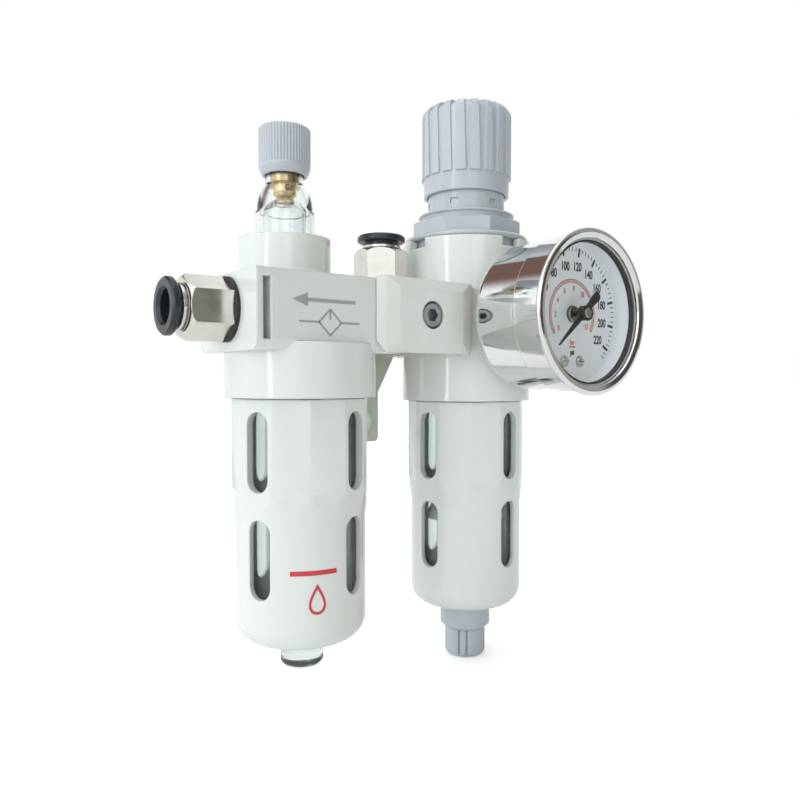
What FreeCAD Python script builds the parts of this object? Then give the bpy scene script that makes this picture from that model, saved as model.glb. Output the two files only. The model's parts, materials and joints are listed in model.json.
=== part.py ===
"""Filter regulator lubricator: a two-bowl compressed-air service unit on a wall bracket.

Frame: millimetres, +Z up. The origin is the centre of the wall bracket's slot, on the bracket's
back face, so the wall is the plane y = 0 and the unit stands out towards -Y. X runs along the
air line: the lubricator is at -X and the filter regulator at +X.

Local frames: both bodies are drawn about their own vertical axis, with z = 0 at the height of the
lubricator's bowl seam, then set in place by on_lubricator() and on_regulator().
"""
import FreeCAD, Part
import math
import os

V = FreeCAD.Vector

# ---- where things stand -------------------------------------------------------------------
AXIS_PITCH = 60.0            # lubricator axis to regulator axis
WALL_GAP = 23.0              # body axes to the wall
SEAM_Z = 9.35                # lubricator bowl seam above the wall slot
FLOW_Z = 22.15               # air line above the lubricator bowl seam
REG_SEAM = -1.9              # regulator bowl seam, from the lubricator's

# ---- clearances ---------------------------------------------------------------------------
FIT = 0.06                   # running and sliding fits, on the radius
CLEAR = 0.25                 # free gap between parts that move past each other
SEAT = 0.1                   # gap between parts bolted or pressed together

# ---- bodies -------------------------------------------------------------------------------
BODY_R = 20.0
BLOCK_HALF_X = 21.0          # port faces
BLOCK_HALF_Y = 16.6
BLOCK_LOW = 11.65            # block's underside
BLOCK_TOP = 31.1
BLOCK_ROUND = 3.0
SKIRT_TOP = 14.0
POCKET_IN = 17.25            # clamp pockets behind each port flange
POCKET_OUT = 19.3
POCKET_DEPTH = 6.4
POCKET_LOW = 14.3
POCKET_TOP = 29.0
FLOW_R = 5.5
PORT_R = 6.5
PORT_DEPTH = 7.6

# ---- bowls and guards ---------------------------------------------------------------------
COLLAR_R = 17.0              # guard collar inside the body skirt
COLLAR_TOP = 7.8
LUG_R = 18.1
LUG_LOW = 3.2
LUG_TOP = 5.2
LUG_WIDTH = 5.6
LUG_COUNT = 4
BAYONET_TURN = 45.0
GUARD_SIDES = 12
GUARD_FLAT = 17.63           # axis to each flat
GUARD_R = 17.25              # round lower half
GUARD_UPPER_R = 18.4
GUARD_FLAT_END = -22.0       # where the flats start to fade
GUARD_ROUND_START = -32.0
GUARD_LENGTH = 64.1
GUARD_ROUND = 5.5
GUARD_WALL = 1.5
SLOT_WIDTH = 6.6
SLOT_LENGTH = 20.3
SLOT_TOPS = (-3.4, -30.5)
SLOT_COLUMNS = 4
LUB_TURN = 22.5              # each guard is turned so that one slot column faces this way from -Y
REG_TURN = 7.5
BOWL_GAP = 0.4               # guard to bowl
BOWL_WALL = 1.9
BOWL_FLANGE = 1.5
SPIGOT_R = 15.0
SPIGOT_TOP = 12.6
SEAL_SECTION = 0.9
BOWL_ROUND = 7.0

# ---- lubricator top -----------------------------------------------------------------------
NECK_X = -0.6
NECK_Y = 7.3
NECK_R = 12.5
NECK_TOP = 42.7
NECK_ROUND = 2.6
DOME_R = 8.0
DOME_WALL = 1.1
DOME_SHOULDER = 50.0
DOME_NECK_R = 5.17
DOME_NECK_LOW = 57.8
DOME_TOP = 64.5
DOME_SEAT_DEPTH = 4.2
BRASS_R = 3.9
BRASS_TOP = 61.2
BRASS_STEP = 57.3
BRASS_LOW = 54.7
NEEDLE_R = 0.8
SIPHON_R = 1.6
DROP_KNOB_R = 7.05
DROP_KNOB_LOW = 60.1
DROP_KNOB_TOP = 72.9
DROP_KNOB_FLUTES = 52
FLUTE_LOW = 62.7
FLUTE_R = 0.3

# ---- regulator top ------------------------------------------------------------------------
REG_TOP = 46.8
NOTCH_LOW = 44.0
NOTCH_WIDTH = 6.8
CHAMBER_R = 17.3
CHAMBER_LOW = 40.8
REGULATED_R = 14.0
REGULATED_LOW = 36.0
ORIFICE_R = 3.0
VALVE_BORE_R = 6.5
VALVE_SEAT_Z = 25.5
DISC_R = 19.24
DISC_THICK = 1.6
THREAD_R = 15.0
THREAD_ROOT = 14.2
THREAD_PITCH = 1.9
THREAD_TOP = 56.6
BONNET_NECK_R = 12.0
BONNET_TOP = 66.0
BONNET_ROOF = 3.0
SPRING_ROOM_R = 9.3
TEETH = 6
NUT_FLATS = 32.5
NUT_SIDES = 8
NUT_HEIGHT = 4.4
NUT_TURN = 3.5
KNOB_LOW = 61.8
KNOB_TOP = 88.9
KNOB_LOW_R = 13.3
KNOB_R = 14.1
KNOB_RIB_LOW = 67.3
KNOB_RIB_TOP = 86.3
KNOB_RIBS = 20
KNOB_RIB_HEIGHT = 0.55
KNOB_RIB_FOOT = 3.1          # rib width at its foot, tapering to the top
KNOB_RIB_TIP = 1.85
KNOB_TRAVEL = 3.3
SCREW_R = 4.0
SCREW_LOW = 50.4
SCREW_FLANGE = 1.6
DRIVE_FLATS = 8.0
SEAT_R = 8.8
SEAT_TOP = 60.0
SEAT_THICK = 4.5
SEAT_TRAVEL = 4.0
SPRING_R = 7.0
SPRING_WIRE = 1.0
SPRING_TURNS = 4.5
DIAPHRAGM_THICK = 1.2
PLATE_R = 9.0
PLATE_THICK = 1.5
STEM_R = 1.2
POPPET_R = 4.4
POPPET_THICK = 2.6
BOSS_HALF_X = 10.9           # rear port boss
BOSS_DEPTH = 22.0
BOSS_TOP = 43.9
GAUGE_PORT_R = 4.9
GAUGE_PORT_FLOOR = 11.0
SENSE_R = 1.0
SENSE_Y = 12.5

# ---- filter and drain ---------------------------------------------------------------------
ELEMENT_R = 9.5
ELEMENT_BORE = 6.5
ELEMENT_LOW = -34.0
ROD_R = 1.5
ELEMENT_TOP = 2.0
DRAIN_R = 7.87
DRAIN_STEP = -74.4
DRAIN_KNOB_R = 6.36
DRAIN_KNOB_LOW = -83.25
PLUG_R = 5.8
PLUG_LENGTH = 8.5

# ---- joining pieces -----------------------------------------------------------------------
CLAMP_BACK = 16.8            # clamp's inner face, in front of the body axes
CLAMP_CREASE = 18.1
CLAMP_FRONT = 19.6
CLAMP_HALF = 17.1
CLAMP_CREASE_HALF = 14.9
CLAMP_FACE_HALF = 10.85
CLAMP_LOW = 11.7
CLAMP_TOP = 31.9
CLAMP_FACE_LOW = 14.8
CLAMP_FACE_TOP = 29.0
HOOK_THICK = 1.6
HOOK_DEPTH = 5.6
SPACER_HALF_Y = 15.0
TAKEOFF_Y = 4.5
SCREW_SHANK_R = 2.0
SCREW_HEAD_R = 3.5
SCREW_HEAD_HEIGHT = 3.2
SOCKET_FLATS = 3.2
BRACKET_THICK = 3.0
TAB_HALF = 9.9
TAB_LOW = -15.5
TAB_SHOULDER = 0.4
HEAD_SHOULDER = 13.6
WALL_SLOT_R = 3.2
WALL_SLOT_LENGTH = 14.6

# ---- push-in fittings ---------------------------------------------------------------------
SPIGOT_LENGTH = 6.4
HEX_FLATS = 14.0
HEX_START = 1.0
HEX_END = 12.0
MOUTH = 13.1
TUBE_R = 4.0
COLLAR_FLANGE_R = 7.05
COLLAR_FLANGE_LOW = 14.2
COLLAR_END = 16.1
RING_R = 8.2

# ---- gauge, drawn with +Z from the regulator axis towards the reader --------------------------
GAUGE_Z = 22.4
GAUGE_BACK = 23.6
GAUGE_R = 20.6
GAUGE_SLEEVE_R = GAUGE_R + 0.5
GAUGE_SEAM = 40.2
GAUGE_RIM_R = GAUGE_R + 1.5
GAUGE_FRONT = 50.3
GAUGE_WALL = 0.8
GAUGE_ROUND = 4.0
DIAL_FACE = 42.0
DIAL_R = GAUGE_R - 1.1
LENS_BACK = 48.5
POINTER_LEVEL = 45.7
POINTER_REACH = 13.2
POINTER_TAIL = 8.4
POINTER_ZERO = 221.5         # degrees counter-clockwise from +X, seen by the reader


# ---- shape helpers ------------------------------------------------------------------------
def cyl(radius, low, high, x=0.0, y=0.0):
    return Part.makeCylinder(radius, high - low, V(x, y, low))


def cyl_x(radius, low, high, y=0.0, z=0.0):
    return Part.makeCylinder(radius, high - low, V(low, y, z), V(1, 0, 0))


def cyl_y(radius, low, high, x=0.0, z=0.0):
    return Part.makeCylinder(radius, high - low, V(x, low, z), V(0, 1, 0))


def tube(outer, inner, low, high, x=0.0, y=0.0):
    return cyl(outer, low, high, x, y).cut(cyl(inner, low - 1, high + 1, x, y))


def box(x0, x1, y0, y1, z0, z1):
    return Part.makeBox(x1 - x0, y1 - y0, z1 - z0, V(x0, y0, z0))


def without(body, cutters):
    for cutter in cutters:
        body = body.cut(cutter)
    return body


def turned(start, *steps):
    """A solid of revolution about Z. A step is (r, z), or (mid, end) for an arc through mid."""
    edges = []
    here = V(start[0], 0, start[1])
    for step in steps + (start,):
        if isinstance(step[0], tuple):
            middle = V(step[0][0], 0, step[0][1])
            end = V(step[1][0], 0, step[1][1])
            edges.append(Part.Arc(here, middle, end).toShape())
        else:
            end = V(step[0], 0, step[1])
            if here.distanceToPoint(end) > 1e-6:
                edges.append(Part.LineSegment(here, end).toShape())
        here = end
    face = Part.Face(Part.Wire(edges))
    return face.revolve(V(0, 0, 0), V(0, 0, 1), 360)


def quarter(centre, radius, start_deg):
    """(mid, end) of a quarter arc in the r-z plane, running clockwise from start_deg."""
    def point(deg):
        a = math.radians(deg)
        return (centre[0] + radius * math.cos(a), centre[1] + radius * math.sin(a))
    return (point(start_deg - 45), point(start_deg - 90))


def prism(sides, flat, low, high, turn=0.0):
    """A prism with flats at distance flat from Z; one flat faces turn degrees from -Y towards +X."""
    corner = flat / math.cos(math.pi / sides)
    points = []
    for i in range(sides + 1):
        a = math.radians(turn - 90.0 + (i + 0.5) * 360.0 / sides)
        points.append(V(corner * math.cos(a), corner * math.sin(a), low))
    return Part.Face(Part.makePolygon(points)).extrude(V(0, 0, high - low))


def torus(radius, section, z=0.0):
    return Part.makeTorus(radius, section, V(0, 0, z))


def spun(shape, degrees):
    copy = shape.copy()
    copy.rotate(V(0, 0, 0), V(0, 0, 1), degrees)
    return copy


def around(shape, count, first=0.0):
    """Copies of shape evenly spaced about Z."""
    return [spun(shape, first + i * 360.0 / count) for i in range(count)]


def moved(shape, x=0.0, y=0.0, z=0.0):
    copy = shape.copy()
    copy.translate(V(x, y, z))
    return copy


def facing(shape, axis, degrees):
    copy = shape.copy()
    copy.rotate(V(0, 0, 0), axis, degrees)
    return copy


def stadium_cutter(width, length, top, reach):
    """A slot cutter reaching from the axis towards -Y."""
    half = width / 2
    bar = box(-half, half, -reach, 0, top - length + half, top - half)
    ends = [cyl_y(half, -reach, 0, 0, z) for z in (top - half, top - length + half)]
    return bar.fuse(ends)


def helix_spring(radius, wire, low, high, turns):
    """A round-wire spring whose solid runs from low to high."""
    pitch = (high - low - 2 * wire) / turns
    path = Part.makeHelix(pitch, pitch * turns, radius)
    path.translate(V(0, 0, low + wire))
    circle = Part.makeCircle(wire, V(radius, 0, low + wire), V(0, 1, 0))
    return Part.Wire(path).makePipeShell([Part.Wire(circle)], True, True)


# ---- setting in place -----------------------------------------------------------------------
NODES = {}


def on_unit(name, shape, x=0.0):
    NODES[name] = moved(shape, x, -WALL_GAP, SEAM_Z).removeSplitter()


def on_lubricator(name, shape):
    on_unit(name, shape, -AXIS_PITCH / 2)


def on_regulator(name, shape):
    on_unit(name, shape, AXIS_PITCH / 2)


# ---- bodies -----------------------------------------------------------------------------------
def port_block():
    """The part of a body with the two port flanges, still solid."""
    block = box(-BLOCK_HALF_X, BLOCK_HALF_X, -BLOCK_HALF_Y, BLOCK_HALF_Y, BLOCK_LOW, BLOCK_TOP)
    low_edges = [e for e in block.Edges
                 if abs(e.BoundBox.ZMax - BLOCK_LOW) < 1e-6 and e.BoundBox.XLength > BLOCK_HALF_X]
    return block.makeFillet(BLOCK_ROUND, low_edges)


def clamp_pockets():
    cutters = []
    for side in (-1, 1):
        for face in (-1, 1):
            x0, x1 = sorted((side * POCKET_IN, side * POCKET_OUT))
            y0, y1 = sorted((face * (BLOCK_HALF_Y - POCKET_DEPTH), face * (BLOCK_HALF_Y + 1)))
            cutters.append(box(x0, x1, y0, y1, POCKET_LOW, POCKET_TOP))
    return cutters


def bowl_socket(seam, lug_turn):
    """Cutters for the bayonet socket in the underside of a body."""
    bore_r = COLLAR_R + CLEAR
    lug_r = LUG_R + CLEAR
    head_r = SPIGOT_R + 2 * SEAL_SECTION + FIT
    entry = box(-LUG_WIDTH / 2 - CLEAR, LUG_WIDTH / 2 + CLEAR, -lug_r - 1, 0, seam - 1, seam + LUG_TOP)
    entries = [e.common(cyl(lug_r, seam - 1, seam + LUG_TOP))
               for e in around(entry, LUG_COUNT, lug_turn + BAYONET_TURN)]
    return [
        cyl(bore_r, seam - 1, seam + COLLAR_TOP + SEAT),
        cyl(lug_r, seam + LUG_LOW - CLEAR, seam + LUG_TOP + CLEAR),
        cyl(head_r, seam + COLLAR_TOP, seam + SPIGOT_TOP + CLEAR),
    ] + entries


def port_bore(side):
    """The threaded port and the passage behind it, on one side."""
    port = cyl_x(PORT_R, BLOCK_HALF_X - PORT_DEPTH, BLOCK_HALF_X + 1, 0, FLOW_Z)
    return port if side > 0 else facing(port, V(0, 0, 1), 180)


def lubricator_body():
    body = cyl(BODY_R, 0, SKIRT_TOP).fuse(port_block())
    neck = cyl(NECK_R, SKIRT_TOP - 2, NECK_TOP)
    root_low = BLOCK_TOP
    middle = 0.35 * NECK_ROUND
    cove = turned((NECK_R - 1, root_low), (NECK_R + NECK_ROUND, root_low),
                  (NECK_R + middle, root_low + middle), (NECK_R, root_low + NECK_ROUND),
                  (NECK_R - 1, root_low + NECK_ROUND))
    over_block = box(-BLOCK_HALF_X, BLOCK_HALF_X, -BLOCK_HALF_Y, BLOCK_HALF_Y,
                     root_low, root_low + NECK_ROUND)
    cove = moved(cove, NECK_X, NECK_Y).common(over_block)
    body = body.fuse(moved(neck, NECK_X, NECK_Y)).fuse(cove)
    flow = cyl_x(FLOW_R, -BLOCK_HALF_X - 1, BLOCK_HALF_X + 1, 0, FLOW_Z)
    dome_seat = cyl(DOME_R + FIT, NECK_TOP - DOME_SEAT_DEPTH, NECK_TOP + 1, NECK_X, NECK_Y)
    drip = cyl(1.2, FLOW_Z, NECK_TOP, NECK_X, NECK_Y - 5)
    siphon = cyl(SIPHON_R + FIT, SPIGOT_TOP - 2, NECK_TOP, NECK_X, NECK_Y + 2)
    cutters = bowl_socket(0.0, LUB_TURN) + clamp_pockets()
    cutters += [flow, dome_seat, drip, siphon, port_bore(-1)]
    on_lubricator("lubricator_body", without(body, cutters))


def regulator_body():
    body = cyl(BODY_R, REG_SEAM, REG_TOP).fuse(port_block())
    boss = box(-BOSS_HALF_X, BOSS_HALF_X, 0, BOSS_DEPTH, BLOCK_LOW, BOSS_TOP)
    body = body.fuse(boss)
    passage_x = VALVE_BORE_R + 6.2
    inlet = cyl_x(FLOW_R, VALVE_BORE_R + 3, BLOCK_HALF_X + 1, 0, FLOW_Z)
    outlet = cyl_x(FLOW_R, -BLOCK_HALF_X - 1, -VALVE_BORE_R - 3, 0, FLOW_Z)
    floor = REG_SEAM + SPIGOT_TOP
    down = cyl(3.0, floor, FLOW_Z, passage_x)
    up = cyl(3.0, FLOW_Z, REGULATED_LOW + 1, -passage_x + 2)
    notch = box(-NOTCH_WIDTH / 2, NOTCH_WIDTH / 2, -BODY_R - 5, -REGULATED_R, NOTCH_LOW, REG_TOP + 1)
    gauge_port = cyl_y(GAUGE_PORT_R, -BODY_R - 1, -GAUGE_PORT_FLOOR, 0, GAUGE_Z)
    rear_port = cyl_y(GAUGE_PORT_R, GAUGE_PORT_FLOOR, BOSS_DEPTH + 1, 0, GAUGE_Z)
    senses = [cyl(SENSE_R, GAUGE_Z, REGULATED_LOW + 1, 0, s * SENSE_Y) for s in (-1, 1)]
    cutters = bowl_socket(REG_SEAM, REG_TURN) + clamp_pockets() + around(notch, 4)
    cutters += [
        inlet, outlet, down, up, gauge_port, rear_port, port_bore(1),
        cyl(VALVE_BORE_R, floor, VALVE_SEAT_Z),
        cyl(ORIFICE_R, VALVE_SEAT_Z - 1, REGULATED_LOW + 1),
        cyl(REGULATED_R, REGULATED_LOW, CHAMBER_LOW + 1),
        cyl(CHAMBER_R, CHAMBER_LOW, REG_TOP + 1),
    ] + senses
    on_regulator("regulator_body", without(body, cutters))
    plug = cyl_y(GAUGE_PORT_R - FIT, GAUGE_PORT_FLOOR + 3, BOSS_DEPTH - 0.4, 0, GAUGE_Z)
    socket = facing(prism(6, 2.5, 0, 4), V(1, 0, 0), 90)
    on_regulator("rear_port_plug", plug.cut(moved(socket, 0, BOSS_DEPTH, GAUGE_Z)))


# ---- bowls --------------------------------------------------------------------------------------
def guard(turn, seam, hole_r):
    """White bowl guard: twelve-sided above, round below, with eight viewing slots."""
    bottom = -GUARD_LENGTH
    inner = GUARD_R - GUARD_WALL
    inner_round = GUARD_ROUND - GUARD_WALL
    shell = turned(
        (inner, COLLAR_TOP), (COLLAR_R, COLLAR_TOP), (COLLAR_R, -CLEAR), (GUARD_UPPER_R, -CLEAR),
        (GUARD_UPPER_R, GUARD_FLAT_END), (GUARD_R, GUARD_ROUND_START), (GUARD_R, bottom + GUARD_ROUND),
        quarter((GUARD_R - GUARD_ROUND, bottom + GUARD_ROUND), GUARD_ROUND, 0),
        (hole_r, bottom), (hole_r, bottom + GUARD_WALL), (inner - inner_round, bottom + GUARD_WALL),
        ((inner - 0.29 * inner_round, bottom + GUARD_WALL + 0.29 * inner_round),
         (inner, bottom + GUARD_ROUND)),
    )
    flats = prism(GUARD_SIDES, GUARD_FLAT, bottom - 1, COLLAR_TOP + 1, turn)
    shell = shell.common(flats)
    lug = box(-LUG_WIDTH / 2, LUG_WIDTH / 2, -LUG_R - 1, 0, LUG_LOW, LUG_TOP)
    ring = tube(LUG_R, COLLAR_R - 0.5, LUG_LOW, LUG_TOP)
    lugs = [x.common(ring) for x in around(lug, LUG_COUNT, turn)]
    slots = []
    for top in SLOT_TOPS:
        cutter = stadium_cutter(SLOT_WIDTH, SLOT_LENGTH, top, GUARD_UPPER_R + 2)
        slots += around(cutter, SLOT_COLUMNS, turn)
    return moved(shell.fuse(lugs).cut(slots), 0, 0, seam)


def bowl(seam, hole_r, boss_r=0.0, boss_low=0.0):
    """Clear bowl hung from a flange that the guard's collar lifts, with a hole through its floor."""
    outer = GUARD_R - GUARD_WALL - BOWL_GAP
    inner = outer - BOWL_WALL
    flange_low = COLLAR_TOP + SEAT
    flange_top = flange_low + BOWL_FLANGE
    flange_r = SPIGOT_R + 2 * SEAL_SECTION - CLEAR
    floor = -GUARD_LENGTH + GUARD_WALL + BOWL_GAP
    inner_round = BOWL_ROUND - BOWL_WALL
    shell = turned(
        (inner, SPIGOT_TOP), (SPIGOT_R, SPIGOT_TOP), (SPIGOT_R, flange_top), (flange_r, flange_top),
        (flange_r, flange_low), (outer, flange_low), (outer, floor + BOWL_ROUND),
        quarter((outer - BOWL_ROUND, floor + BOWL_ROUND), BOWL_ROUND, 0),
        (hole_r, floor), (hole_r, floor + BOWL_WALL), (inner - inner_round, floor + BOWL_WALL),
        ((inner - 0.29 * inner_round, floor + BOWL_WALL + 0.29 * inner_round),
         (inner, floor + BOWL_ROUND)),
    )
    if boss_r:
        shell = shell.fuse(tube(boss_r, hole_r, boss_low, floor + BOWL_WALL))
    return moved(shell, 0, 0, seam)


def bowl_seal(seam):
    low = COLLAR_TOP + SEAT + BOWL_FLANGE
    z = low + SEAL_SECTION + CLEAR
    return torus(SPIGOT_R + SEAL_SECTION, SEAL_SECTION - 0.01, seam + z)


def lubricator_bowl():
    hole_r = PLUG_R - 2.2
    boss_low = -GUARD_LENGTH + SEAT
    on_lubricator("lubricator_guard", guard(LUB_TURN, 0.0, PLUG_R + 0.5))
    on_lubricator("lubricator_bowl", bowl(0.0, hole_r, PLUG_R - 0.6, boss_low))
    on_lubricator("lubricator_bowl_seal", bowl_seal(0.0))
    head_top = boss_low - 0.9
    head_low = boss_low - PLUG_LENGTH
    plug = turned(
        (0, head_low), (PLUG_R - 2.2, head_low), quarter_up((PLUG_R - 2.2, head_low + 2.2), 2.2),
        (PLUG_R, head_top), (hole_r - FIT, head_top), (hole_r - FIT, boss_low + 4), (0, boss_low + 4),
    )
    groove = tube(PLUG_R + 1, PLUG_R - 0.35, head_top - 1.7, head_top - 1.2)
    on_lubricator("lubricator_drain_plug", plug.cut(groove))
    on_lubricator("lubricator_plug_seal",
                  tube(PLUG_R - 0.4, hole_r + 0.1, head_top + 0.05, boss_low - 0.05))


def quarter_up(centre, radius):
    """(mid, end) of the quarter arc from the bottom of a circle round to its outer side."""
    mid = (centre[0] + radius * math.sqrt(0.5), centre[1] - radius * math.sqrt(0.5))
    return (mid, (centre[0] + radius, centre[1]))


def siphon():
    """Oil pick-up tube from the bowl floor to the sight dome, and the insert in the air line."""
    x, y = NECK_X, NECK_Y + 2
    low = -GUARD_LENGTH + 8
    top = NECK_TOP - DOME_SEAT_DEPTH - 0.3
    on_lubricator("siphon_tube", tube(SIPHON_R, SIPHON_R - 0.6, low, top, x, y))
    vane = turned((2.6, -5), (FLOW_R - FIT, -5), (FLOW_R - FIT, 5), (3.6, 5), (2.6, 1))
    vane = facing(vane, V(0, 1, 0), 90)
    on_lubricator("venturi_insert", moved(vane, 6.5, 0, FLOW_Z))


def sight_dome():
    low = NECK_TOP - DOME_SEAT_DEPTH + SEAT
    inner = DOME_R - DOME_WALL
    neck_in = DOME_NECK_R - DOME_WALL
    dome = turned(
        (inner, low), (DOME_R, low), (DOME_R, DOME_SHOULDER), (DOME_R - 0.5, DOME_SHOULDER + 0.2),
        ((DOME_R - 1.3, DOME_NECK_LOW - 2.6), (DOME_NECK_R, DOME_NECK_LOW)),
        (DOME_NECK_R, DOME_TOP), (neck_in, DOME_TOP), (neck_in, DOME_NECK_LOW - 0.6),
        ((inner - 1.2, DOME_NECK_LOW - 3.6), (inner, DOME_SHOULDER)),
    )
    on_lubricator("sight_dome", moved(dome, NECK_X, NECK_Y))
    guide_r = inner - 1.1
    guide_low = low + 0.2
    guide = turned(
        (guide_r - 0.9, guide_low), (guide_r, guide_low), (guide_r, DOME_SHOULDER + 0.3),
        ((guide_r - 1.1, DOME_SHOULDER + 2.9), (2.7, DOME_SHOULDER + 3.8)), (1.9, DOME_SHOULDER + 3.8),
        (1.9, DOME_SHOULDER + 2.9), (2.7, DOME_SHOULDER + 2.9),
        ((guide_r - 1.9, DOME_SHOULDER + 2.1), (guide_r - 0.9, DOME_SHOULDER + 0.1)),
    )
    on_lubricator("drip_guide", moved(guide, NECK_X, NECK_Y))
    bore = NEEDLE_R + FIT
    brass = turned(
        (bore, BRASS_LOW), (2.3, BRASS_LOW), (BRASS_R - 0.7, BRASS_LOW + 0.8),
        (BRASS_R - 0.7, BRASS_STEP), (BRASS_R, BRASS_STEP), (BRASS_R, BRASS_TOP), (bore, BRASS_TOP),
    )
    cross = cyl_y(0.75, -BRASS_R - 1, 0, 0, BRASS_STEP - 1.1)
    brass = brass.cut(spun(cross, -15))
    on_lubricator("metering_body", moved(brass, NECK_X, NECK_Y))
    seal = tube(neck_in - FIT, NEEDLE_R + 0.3, BRASS_TOP + 0.05, DOME_TOP - 1.2)
    on_lubricator("dome_seal", moved(seal, NECK_X, NECK_Y))


def drop_knob():
    """Fluted knob over the dome's neck, and the metering needle that it drives."""
    room_r = DOME_NECK_R + CLEAR
    room_top = DOME_TOP + 0.6
    knob = turned(
        (room_r, DROP_KNOB_LOW), (DROP_KNOB_R - 0.9, DROP_KNOB_LOW),
        (DROP_KNOB_R - 0.25, DROP_KNOB_LOW + 1.2),
        (DROP_KNOB_R, DROP_KNOB_LOW + 2.2), (DROP_KNOB_R, DROP_KNOB_TOP - 0.5),
        (DROP_KNOB_R - 0.5, DROP_KNOB_TOP), (0, DROP_KNOB_TOP), (0, DROP_KNOB_TOP - 2.6),
        (NEEDLE_R + 0.35, DROP_KNOB_TOP - 2.6), (NEEDLE_R + 0.35, room_top), (room_r, room_top),
    )
    flute = cyl(FLUTE_R, FLUTE_LOW, DROP_KNOB_TOP + 1, 0, -DROP_KNOB_R - FLUTE_R * 0.2)
    knob = knob.cut(around(flute, DROP_KNOB_FLUTES))
    on_lubricator("drop_rate_knob", moved(knob, NECK_X, NECK_Y))
    low = BRASS_LOW - 1.6
    needle = turned((0, low), (NEEDLE_R, low + 1.6), (NEEDLE_R, DROP_KNOB_TOP - 3.6),
                    (0, DROP_KNOB_TOP - 3.6))
    on_lubricator("metering_needle", moved(needle, NECK_X, NECK_Y))


# ---- regulator ---------------------------------------------------------------------------------
def bonnet():
    skirt_low = CHAMBER_LOW + DIAPHRAGM_THICK + SEAT
    disc_low = REG_TOP + SEAT
    disc_top = disc_low + DISC_THICK
    profile = [
        (REGULATED_R + 0.5, skirt_low), (CHAMBER_R - CLEAR, skirt_low), (CHAMBER_R - CLEAR, disc_low),
        (DISC_R - 0.5, disc_low), (DISC_R, disc_low + 0.5), (DISC_R, disc_top - 0.5),
        (DISC_R - 0.5, disc_top), (THREAD_ROOT, disc_top),
    ]
    rings = int((THREAD_TOP - disc_top) / THREAD_PITCH)
    first = THREAD_TOP - rings * THREAD_PITCH
    for i in range(rings):
        z = first + i * THREAD_PITCH
        profile += [(THREAD_ROOT, z + 0.15), (THREAD_R, z + 0.6), (THREAD_R, z + 0.9),
                    (THREAD_ROOT, z + 1.35)]
    profile += [
        (BONNET_NECK_R, THREAD_TOP), (BONNET_NECK_R, BONNET_TOP), (SCREW_R + FIT, BONNET_TOP),
        (SCREW_R + FIT, BONNET_TOP - BONNET_ROOF), (SPRING_ROOM_R, BONNET_TOP - BONNET_ROOF),
        (SPRING_ROOM_R, disc_low), (REGULATED_R + 0.5, disc_low - 2),
    ]
    shape = turned(*profile)
    tooth_low = THREAD_TOP + 1.2
    gap = box(-1.3, 1.3, -BONNET_NECK_R - 1, -BONNET_NECK_R + 0.6, tooth_low, tooth_low + 1.8)
    key = box(SPRING_ROOM_R - 1, SPRING_ROOM_R + 0.9, -1.5, 1.5,
              SEAT_TOP - SEAT_THICK - SEAT_TRAVEL - 1, SEAT_TOP + 1)
    on_regulator("bonnet", shape.cut(around(gap, TEETH) + [key, spun(key, 180)]))


def panel_nut():
    low = REG_TOP + SEAT + DISC_THICK + SEAT
    nut = prism(NUT_SIDES, NUT_FLATS / 2, low, low + NUT_HEIGHT, NUT_TURN)
    corner = NUT_FLATS / 2 / math.cos(math.pi / NUT_SIDES)
    crown = turned((0, low), (corner + 0.1, low), (corner + 0.1, low + NUT_HEIGHT - 0.5),
                   (corner - 0.6, low + NUT_HEIGHT), (0, low + NUT_HEIGHT))
    on_regulator("panel_nut", nut.common(crown).cut(cyl(THREAD_R + FIT, low - 1, low + NUT_HEIGHT + 1)))


def pressure_knob():
    """Ribbed knob that lifts to turn and drops to lock."""
    room_r = BONNET_NECK_R + 0.3
    room_top = BONNET_TOP + SCREW_FLANGE + 0.5 + KNOB_TRAVEL
    drive = DRIVE_FLATS / 2 + FIT
    core_r = KNOB_R - KNOB_RIB_HEIGHT
    crown_r = KNOB_R - 3.4
    core = turned(
        (room_r, KNOB_LOW), (KNOB_LOW_R, KNOB_LOW), (core_r, KNOB_RIB_LOW), (core_r, KNOB_RIB_TOP),
        ((core_r - 0.7, KNOB_TOP - 1.6), (crown_r, KNOB_TOP - 0.4)), (crown_r, KNOB_TOP), (0, KNOB_TOP),
        (0, room_top), (room_r, room_top),
    )
    skin = turned(
        (core_r - 0.4, KNOB_RIB_LOW), (KNOB_R, KNOB_RIB_LOW), (KNOB_R, KNOB_RIB_TOP),
        ((KNOB_R - 0.6, KNOB_TOP - 1.1), (KNOB_R - 3.0, KNOB_TOP)), (crown_r - 0.5, KNOB_TOP),
        (crown_r - 0.5, KNOB_TOP - 3.0), (core_r - 0.4, KNOB_RIB_TOP - 2.0),
    )
    foot, tip = KNOB_RIB_FOOT / 2, KNOB_RIB_TIP / 2
    outline = [V(-foot, -KNOB_R - 1, KNOB_RIB_LOW), V(foot, -KNOB_R - 1, KNOB_RIB_LOW),
               V(tip, -KNOB_R - 1, KNOB_TOP), V(-tip, -KNOB_R - 1, KNOB_TOP)]
    wedge = Part.Face(Part.makePolygon(outline + outline[:1])).extrude(V(0, 5, 0))
    ribs = [skin.common(x) for x in around(wedge, KNOB_RIBS, 5.0)]
    socket = prism(6, drive, room_top - 1, KNOB_TOP - 3.2)
    on_regulator("pressure_knob", core.fuse(ribs).cut(socket))


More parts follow.
